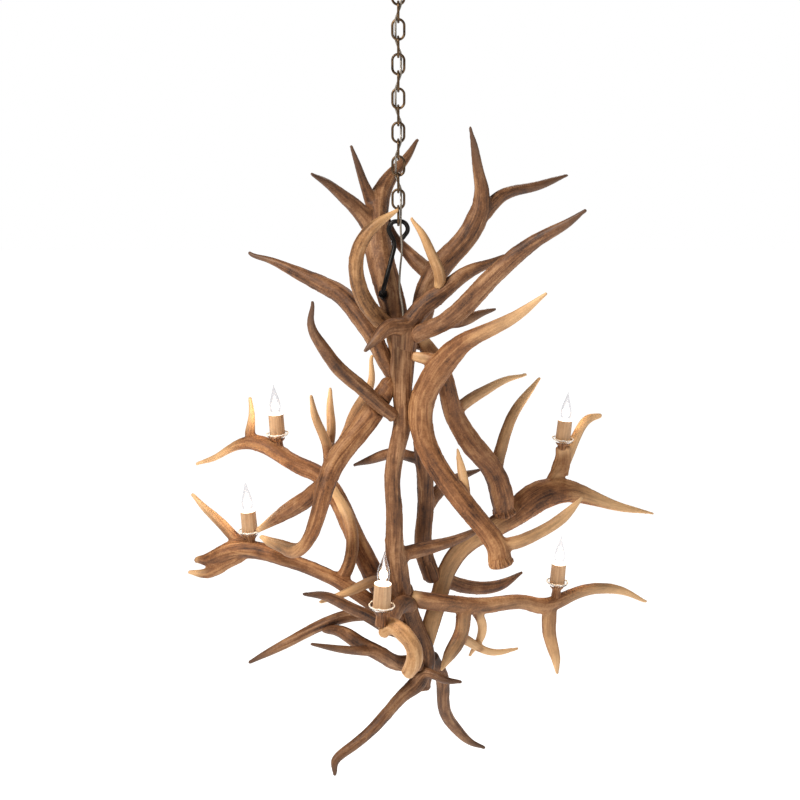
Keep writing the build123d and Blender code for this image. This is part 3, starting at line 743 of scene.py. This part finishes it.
# %% [markdown]
# ## Candle materials
# Sleeves are tan and streaked like an antler, and cup rims and sockets are cream. They
# differ only in colour and gloss, so one function makes all three. The glass could be a
# see-through grey, but full transmission also bends what is behind it, as real glass does.
# The sockets glow a little, because the lit bulbs whiten the sleeves' tops.

# %% Cream, tan and glass
def cream_material(name, dark, light, scale, roughness=0.45):
    material, shader, place = new_material(name)
    streak = attribute(place, "groove")
    cloud = place.noise(scale, 4.0, 0.6)
    fine = place.noise(12 * scale, 3.0, 0.5)
    tone = 0.45 * streak + 0.35 * cloud + 0.2 * fine
    feed(shader, "Base Color", tone.ramp((0.3, dark), (0.68, light)))
    feed(shader, "Roughness", (roughness + 0.25 * cloud).clamp())
    bump(shader, streak + cloud + 0.4 * fine, 0.4, 0.0006)
    return material


def glass_material(name, colour, roughness, ior):
    material, shader, place = new_material(name)
    shader.inputs["Base Color"].default_value = (*colour, 1)
    shader.inputs["Transmission Weight"].default_value = 1.0
    shader.inputs["IOR"].default_value = ior
    smudge = place.noise(25.0, 3.0, 0.5)
    feed(shader, "Roughness", (roughness + 0.05 * smudge).clamp())
    return material


def glow(material, colour, strength):
    """Lets a material shine by itself."""
    shader = material.node_tree.nodes["Principled BSDF"]
    shader.inputs["Emission Color"].default_value = (*colour, 1)
    shader.inputs["Emission Strength"].default_value = strength


sleeve_look = cream_material("sleeve", (0.36, 0.190, 0.090), (0.64, 0.410, 0.230), 30.0)
rim_look = cream_material("cup_rim", (0.62, 0.55, 0.46), (0.92, 0.89, 0.83), 60.0, 0.15)
socket_look = cream_material("socket", (0.80, 0.74, 0.62), (0.95, 0.92, 0.84), 50.0)
glow(socket_look, (1, 0.93, 0.84), 2.0)
bulb_look = glass_material("bulb_glass", (0.88, 0.87, 0.88), 0.0, 1.30)
saucer_look = glass_material("saucer_glass", (0.93, 0.90, 0.86), 0.06, 1.46)
core_look = new_material("glow")[0]
glow(core_look, (1, 0.92, 0.80), 3.5)

# %% Brass
brass_look, brass_shader, brass_place = new_material("brass")
feed(brass_shader, "Base Color", brass_place.noise(80.0).ramp((0.3, (0.45, 0.30, 0.12)),
                                                             (0.7, (0.72, 0.52, 0.25))))
brass_shader.inputs["Metallic"].default_value = 1.0
brass_shader.inputs["Roughness"].default_value = 0.3
print(len(bpy.data.materials), "materials")

# %% [markdown]
# ## Cups
# Each light stands on a short antler stub, and a clear saucer with a pale wavy rim catches
# what would drip. The saucer is a thin wall, so its profile goes up the outside and comes
# back down the inside as one closed line. A Solidify modifier would give the same wall,
# but the wavy edge is easier to shape when both sides are there at once.

# %% The stub
STUB_DEPTH = {"front": 0.036, "lower_left": 0.040, "upper_left": 0.030, "lower_right": 0.036,
              "upper_right": 0.018}
KNOB_SHARE = 0.07


def make_stub(light, place, dice):
    """The short piece of antler that carries a light."""
    knobs = waves(dice, (5, 7, 11), (90, -140, 60))
    depth = STUB_DEPTH[light]

    def stub_shape(radius, height, turn):
        return radius * (1 + KNOB_SHARE * knobs(turn, height)), height

    profile = smooth_profile([(0.0125, -depth), (0.0128, -0.75 * depth), (0.0118, -0.5 * depth),
                              (0.0120, -0.3 * depth), (0.0150, -0.006), (0.0185, -0.001),
                              (0.0188, 0.0015)], 6)
    stub = lathe(f"cup_{light}_stub", profile, 40, place, stub_shape)
    mark(stub, streaks_round(place, dice, (9, 14, 21, 33)))
    finish_piece(stub, "chandelier", f"cup_{light}", tan_look)


# %% Saucer and rim
SAUCER_INSIDE = 0.0012
SAUCER_ABOVE = 0.0016
FLAT_RADIUS = 0.019
FLARE_WIDTH = 0.009
RIM_RADIUS = 0.0286
RIM_HEIGHT = 0.0122
RIM_BEAD = 0.0016
BEAD_SIDES = 12
SCALLOP_WIDTH = 0.02
SCALLOP_LIFT = 0.0011


def make_saucer(light, place, dice):
    """The clear saucer and the pale bead along its wavy edge."""
    scallops = waves(dice, (6, 9, 13), (0, 0, 0))

    def rim_shape(radius, height, turn):
        lift = max(0.0, (radius - FLAT_RADIUS) / FLARE_WIDTH)
        wider = 1 + SCALLOP_WIDTH * lift * scallops(turn + 1, 0)
        return radius * wider, height + SCALLOP_LIFT * lift * scallops(turn, 0)

    below = smooth_profile([(0.0195, 0.0018), (0.0235, 0.0036), (0.0268, 0.0070),
                            (0.0284, 0.0108)], 4)
    above = [(r - SAUCER_INSIDE, z + SAUCER_ABOVE) for r, z in reversed(below)]
    saucer = lathe(f"cup_{light}_saucer", below + above, 72, place, rim_shape, closed=True)
    finish_piece(saucer, "chandelier", f"cup_{light}", saucer_look)

    bead = [(RIM_RADIUS + RIM_BEAD * math.cos(turn), RIM_HEIGHT + RIM_BEAD * math.sin(turn))
            for turn in (2 * math.pi * k / BEAD_SIDES for k in range(BEAD_SIDES))]
    rim = lathe(f"cup_{light}_rim", bead, 96, place, rim_shape, closed=True)
    mark(rim, streaks_round(place, dice, (8, 19, 31)))
    finish_piece(rim, "chandelier", f"cup_{light}", rim_look)


# %% All cups
CUP_SEED = 200
for number, light in enumerate(LIGHTS):
    dice = np.random.default_rng(CUP_SEED + number)
    make_stub(light, light_place(light), dice)
    make_saucer(light, light_place(light), dice)
print("cups", len(LIGHTS))

# %% [markdown]
# ## Sleeves and sockets
# A sleeve hides the socket and looks like a candle whose side ran a little. Real drips
# could be sculpted, but slow waves in the radius read the same at this size. The socket
# fills the sleeve, and a pale collar closes the gap at its top.

# %% The sleeve
SLEEVE_FOOT = 0.0045
SLEEVE_HEIGHT = 0.0578
SLEEVE_RADIUS = 0.0203
SLEEVE_TAPER = 0.0008
BORE_RADIUS = 0.0149
BORE_TOP = 0.0600
BORE_LIMIT = 0.017
DRIP_SHARE = 0.012
SWELL_SHARE = 0.016


def make_sleeve(light, place, dice):
    """A tube with an uneven outside, a rounded lip and a round bore."""
    drips = waves(dice, (4, 9, 17, 26), (30, -25, 12, 8))
    swell = waves(dice, (1, 2, 3), (50, 35, 60))

    def sleeve_shape(radius, height, turn):
        if radius < BORE_LIMIT:
            return radius, height
        waver = DRIP_SHARE * drips(turn, height) + SWELL_SHARE * swell(turn, height)
        return radius * (1 + waver), height

    outer = [(SLEEVE_RADIUS - SLEEVE_TAPER * share, SLEEVE_FOOT + SLEEVE_HEIGHT * share)
             for share in (k / 24 for k in range(25))]
    lip = [(0.0192, 0.0632), (0.0182, 0.0637), (0.0166, 0.0634), (0.0154, 0.0624)]
    bore = [(BORE_RADIUS, BORE_TOP - (BORE_TOP - SLEEVE_FOOT) * k / 8) for k in range(9)]
    sleeve = lathe(f"sleeve_{light}", outer + lip + bore, 96, place, sleeve_shape, closed=True)
    mark(sleeve, streaks_round(place, dice, (3, 5, 8, 13, 19, 31)))
    finish_piece(sleeve, "chandelier", "candle_sleeves", sleeve_look)


# %% The socket
BARREL = [(0.0126, SLEEVE_FOOT), (0.0129, 0.0060), (0.0129, 0.0200), (0.0124, 0.0210),
          (0.0124, 0.0480), (0.0128, 0.0490), (0.0128, 0.0525), (0.0118, 0.0538),
          (0.0070, 0.0538), (0.0064, 0.0530), (0.0064, 0.0350), (0.0030, 0.0345)]
COLLAR = [(0.0119, 0.0590), (0.0145, 0.0590), (0.0148, 0.0628), (0.0162, 0.0641),
          (0.0178, 0.0643), (0.0190, 0.0637), (0.0189, 0.0645), (0.0178, 0.0651),
          (0.0160, 0.0650), (0.0140, 0.0636), (0.0136, 0.0602), (0.0119, 0.0600)]


def make_socket(light, place):
    """The socket's barrel and the collar that closes the sleeve's top."""
    barrel = lathe(f"socket_{light}", BARREL, 48, place)
    collar = lathe(f"socket_{light}_collar", COLLAR, 72, place, closed=True)
    for part in (barrel, collar):
        mark(part, lambda point: 0.5)
        finish_piece(part, "chandelier", "lamp_sockets", socket_look)


# %% All sleeves and sockets
SLEEVE_SEED = 300
for number, light in enumerate(LIGHTS):
    make_sleeve(light, light_place(light), np.random.default_rng(SLEEVE_SEED + number))
    make_socket(light, light_place(light))
print("sleeves and sockets", len(LIGHTS))

# %% [markdown]
# ## Bulbs
# A flame-tip bulb is a thin glass shell drawn out to a point, with a bright core and a
# brass screw shell. The glass is a real wall, so that light bends at both of its sides.
# The glass and the core cast no shadow and light no dull surface: light that has to find
# its way out of glass comes out as speckle, and a lamp does that work better.

# %% Glass and glowing core
GLASS_WALL = 0.0008
GLASS_TIP = 0.13
FINEST = 0.0003
FLAME = [(0.0062, 0.0543), (0.0078, 0.0580), (0.0112, 0.0645), (0.0135, 0.0735),
         (0.0145, 0.0857), (0.0132, 0.0970), (0.0095, 0.1100), (0.0058, 0.1215),
         (0.0030, 0.1312), (0.0016, 0.1385), (0.0006, 0.1418)]
CORE = [(0.0012, 0.0600), (0.0034, 0.0660), (0.0058, 0.0760), (0.0060, 0.0860),
        (0.0042, 0.0980), (0.0018, 0.1080), (0.0006, 0.1130)]


def make_glass(bulb, place):
    """The flame-shaped wall of glass and the bright core inside it."""
    outside = smooth_profile(FLAME, 5)
    inside = [(max(r - GLASS_WALL, FINEST), z - (GLASS_WALL if z > GLASS_TIP else 0))
              for r, z in reversed(outside)]
    glass = lathe(f"{bulb}_glass", outside + inside, 48, place, closed=True)
    finish_piece(glass, bulb, bulb, bulb_look)
    core = lathe(f"{bulb}_glow", smooth_profile(CORE, 5), 24, place)
    finish_piece(core, bulb, bulb, core_look)
    for piece in (glass, core):
        piece.visible_shadow = False
        piece.visible_diffuse = False


# %% Screw shell
THREAD_PITCH = 0.0034
THREAD_DEPTH = 0.0003
THREAD_START = 0.0375
THREAD_HEIGHT = 0.0155


def thread_shape(radius, height, turn):
    wave = math.sin(turn - 2 * math.pi * height / THREAD_PITCH)
    return radius + THREAD_DEPTH * wave, height


def make_screw(bulb, place):
    """The brass shell whose thread holds the bulb in its socket."""
    shell = [(0.0040, 0.0362), (0.0054, 0.0372)]
    shell += [(0.0055, THREAD_START + THREAD_HEIGHT * k / 40) for k in range(41)]
    shell += [(0.0058, 0.0536), (0.0060, 0.0542)]
    base = lathe(f"{bulb}_base", shell, 48, place, thread_shape)
    finish_piece(base, bulb, bulb, brass_look)


# %% All bulbs
for light in LIGHTS:
    make_glass(f"bulb_{light}", light_place(light))
    make_screw(f"bulb_{light}", light_place(light))
print("bulbs", len(LIGHTS))

# %% [markdown]
# ## The light of the bulbs
# A lit bulb warms the tines beside it. A glowing mesh could do that alone, but it needs
# many more samples than a soft point lamp in the same place.

# %% Warm light from each bulb
WARM_WATTS = 0.6
WARM_COLOUR = (1.0, 0.74, 0.48)
WARM_RADIUS = 0.045
WARM_HEIGHT = 0.085
for light in LIGHTS:
    data = bpy.data.lights.new(f"warm_{light}", "POINT")
    data.energy = WARM_WATTS
    data.color = WARM_COLOUR
    data.shadow_soft_size = WARM_RADIUS
    lamp = bpy.data.objects.new(f"warm_{light}", data)
    lamp.location = light_place(light) @ Vector((0, 0, WARM_HEIGHT))
    scene.collection.objects.link(lamp)
print("warm lamps", len(LIGHTS), "of", WARM_WATTS, "W")

# %% [markdown]
# ## Swollen ends
# Three antlers have a swollen end, where the solids stop flat. The remesh could be blown
# up there, but a turned swelling keeps its shape. Its middle is measured from the eye's
# bar, which the picture shows well, and it points along the antler.

# %% Swellings
SWELLINGS = {"front_centre_antler": ((0.017, -0.060, -0.258), (0.06, -0.02, 1.0), 0.0325),
             "left_front_antler": ((-0.024, -0.060, -0.394), (0.45, 0.1, 0.9), 0.0232),
             "centre_rear_antler": ((0.087, 0.050, -0.924), (0.30, -0.06, -0.95), 0.0225)}
SWELLING_PROFILE = smooth_profile([(0.78, -1.9), (0.88, -1.4), (0.96, -0.8), (1.0, -0.2),
                                   (0.93, 0.3), (0.70, 0.65), (0.38, 0.82), (0.04, 0.86)], 8)
RIDGE_SHARE = 0.014
SWELLING_SEED = 500


def antler_place(middle, axis):
    """The frame of an antler's end: its middle from the eye's bar, z along the axis."""
    turn = Vector(axis).to_track_quat("Z", "Y").to_matrix().to_4x4()
    return Matrix.Translation(Vector(middle) + Vector((0, 0, eye_bar))) @ turn


for number, (node, (middle, axis, radius)) in enumerate(SWELLINGS.items()):
    dice = np.random.default_rng(SWELLING_SEED + number)
    ridges = waves(dice, (3, 5, 8), (60, -40, 90))
    place = antler_place(middle, axis)

    def swelling_shape(r, z, turn):
        return r * (1 + RIDGE_SHARE * ridges(turn, z)), z

    profile = [(r * radius, z * radius) for r, z in SWELLING_PROFILE]
    swelling = lathe(f"{node}_swelling", profile, 72, place, swelling_shape)
    mark(swelling, streaks_round(place, dice, (9, 15, 22, 31)), rough=0.9, lump=0.6)
    finish_piece(swelling, "chandelier", node, antler_look(node))
print("swellings", len(SWELLINGS))

# %% [markdown]
# ## Burrs
# Two antlers hang with the end that once grew from the skull pointing down. A ring of
# knobs, the burr, runs round that end, and its underside is a shallow dome. Displacement
# would push knobs out everywhere, so the shape function lets them grow at the rim alone.

# %% Burr rings
BURRS = {"right_front_antler": ((0.246, -0.206, -0.799), (0.19, -0.10, -1.0), 0.030, 0.80),
         "right_rear_antler": ((0.281, 0.121, -0.772), (0.20, 0.25, -1.0), 0.028, 0.82)}
BURR_PROFILE = smooth_profile([(0.90, -0.016), (0.98, -0.010), (1.10, -0.006), (1.17, -0.001),
                               (1.10, 0.004), (0.94, 0.0065), (0.70, 0.0085), (0.40, 0.0100),
                               (0.08, 0.0105)], 8)
KNOB_RING = 1.13
KNOB_WIDTH = 0.20
COARSE_KNOBS = 0.09
SMALL_KNOBS = 0.05
BURR_SEED = 400
for number, (node, (middle, axis, radius, flat)) in enumerate(BURRS.items()):
    dice = np.random.default_rng(BURR_SEED + number)
    coarse = waves(dice, (7, 11, 16), (150, -220, 90))
    small = waves(dice, (23, 31), (400, -350))
    place = antler_place(middle, axis) @ Matrix.Diagonal((1, flat, 1, 1))

    def burr_shape(r, z, turn):
        edge = max(0.0, 1 - abs(r - KNOB_RING * radius) / (KNOB_WIDTH * radius))
        knobs = COARSE_KNOBS * coarse(turn, z) + SMALL_KNOBS * small(turn, z)
        return r * (1 + edge * knobs), z

    profile = [(r * radius, z) for r, z in BURR_PROFILE]
    burr = lathe(f"{node}_burr", profile, 144, place, burr_shape)
    mark(burr, streaks_round(place, dice, (11, 17, 29, 37)), rough=0.9, lump=0.3)
    finish_piece(burr, "chandelier", node, tan_look)
print("burrs", len(BURRS))

# %% [markdown]
# ## The lamp cord
# A thin flex is woven through the chain, a quarter turn further at every link, and then
# drops from the eye into the antlers. One bevelled curve could be the whole cord. Here the
# route is one smooth NURBS line, and the mesh along it is cut into one stretch per joint,
# from the middle of one link to the middle of the next.

# %% The cord's route
CORD_DIAMETER = 0.005
CORD_TOP = -0.002
LOOP_CENTRE = -0.060
ABOVE_LOOP = 0.0085
BELOW_LOOP = 0.001
FIRST_LINK = -0.092
PITCH = 0.0393
WEAVE = 0.0064
STAND = 0.16
CORNERS = ((1, 1), (1, -1), (-1, -1), (-1, 1))
DROP = ((0.005, -0.016, -0.020), (0.010, -0.030, -0.062), (0.004, -0.044, -0.110),
        (0.002, -0.054, -0.160), (0.012, -0.058, -0.206), (0.012, -0.058, -0.234))
route = [(0, 0, CORD_TOP), (0, 0, LOOP_CENTRE + ABOVE_LOOP),
         (WEAVE, WEAVE, LOOP_CENTRE - BELOW_LOOP)]
for joint in range(len(chain_links)):
    x, y = CORNERS[joint % 4]
    for step in ((-STAND,) if joint == 0 else (STAND, -STAND)):
        route.append((x * WEAVE, y * WEAVE, FIRST_LINK + (0.5 - joint + step) * PITCH))
for x, y, z in DROP:
    route.append((x, y, eye_bar + z))
print("cord", len(route), "route points")

# %% The cord's line
curve = bpy.data.curves.new("cord_line", "CURVE")
curve.dimensions = "3D"
spline = curve.splines.new("NURBS")
spline.points.add(len(route) - 1)
for point, place in zip(spline.points, route):
    point.co = (*place, 1)
spline.order_u = 3
spline.use_endpoint_u = True
spline.resolution_u = 10
cord_line = bpy.data.objects.new("cord_line", curve)
scene.collection.objects.link(cord_line)
line_mesh = bpy.data.meshes.new_from_object(cord_line)
cord_points = [vertex.co.copy() for vertex in line_mesh.vertices]
bpy.data.objects.remove(cord_line)
print("cord", len(cord_points), "points along its line")

# %% A tube along the line
RING_SIDES = 10


def ring_frames(points):
    """A frame at each point, z along the line, carried on without twisting."""
    frames = []
    across = Vector((1, 0, 0))
    for index, point in enumerate(points):
        before = points[max(index - 1, 0)]
        after = points[min(index + 1, len(points) - 1)]
        along = (after - before).normalized()
        across = (across - along * across.dot(along)).normalized()
        turn = Matrix((across, along.cross(across), along)).transposed().to_4x4()
        frames.append(Matrix.Translation(point) @ turn)
    return frames


def tube_piece(name, frames, radius):
    """A circle extruded from frame to frame and closed at both ends."""
    tube = bmesh.new()
    upright = frames[0] @ Matrix.Rotation(-math.pi / 2, 4, "Z")
    bmesh.ops.create_circle(tube, cap_ends=False, segments=RING_SIDES, radius=radius,
                            matrix=upright)
    edges = tube.edges[:]
    for before, after in zip(frames, frames[1:]):
        grown = bmesh.ops.extrude_edge_only(tube, edges=edges)["geom"]
        ring = [item for item in grown if isinstance(item, bmesh.types.BMVert)]
        bmesh.ops.transform(tube, matrix=after @ before.inverted(), verts=ring)
        edges = [item for item in grown if isinstance(item, bmesh.types.BMEdge)
                 and all(end in ring for end in item.verts)]
    rims = [edge for edge in tube.edges if edge.is_boundary]
    bmesh.ops.holes_fill(tube, edges=rims, sides=0)
    bmesh.ops.recalc_face_normals(tube, faces=tube.faces)
    piece = make_object(name, tube)
    piece.data.shade_smooth()
    return piece


# %% The cord's material
cord_look, cord_shader, cord_place = new_material("cord")
strand = cord_place.noise(500.0, 2.0, 0.5)
feed(cord_shader, "Base Color", strand.ramp((0.3, (0.10, 0.08, 0.06)), (0.7, (0.30, 0.26, 0.21))))
cord_shader.inputs["Roughness"].default_value = 0.3
cord_shader.inputs["Coat Weight"].default_value = 0.6
cord_shader.inputs["Coat Roughness"].default_value = 0.15
print("cord material", cord_look.name)

# %% One stretch of cord per joint
joints = [joint for joint in frame["joints"] if joint["name"].endswith("_swing")]
frames = ring_frames(cord_points)
first = 0
for number, joint in enumerate(joints):
    pivot = Vector(joint["pos_m"])
    last = len(cord_points) - 1
    if number + 1 < len(joints):
        middle_height = (pivot.z + joints[number + 1]["pos_m"][2]) / 2
        last = min(range(len(cord_points)), key=lambda k: abs(cord_points[k].z - middle_height))
    name = f"cord_stretch_{number + 1:02d}"
    stretch = tube_piece(name, frames[first:last + 1], CORD_DIAMETER / 2)
    stretch.data.materials.append(cord_look)
    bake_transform(stretch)
    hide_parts("supply_cord")
    first = last
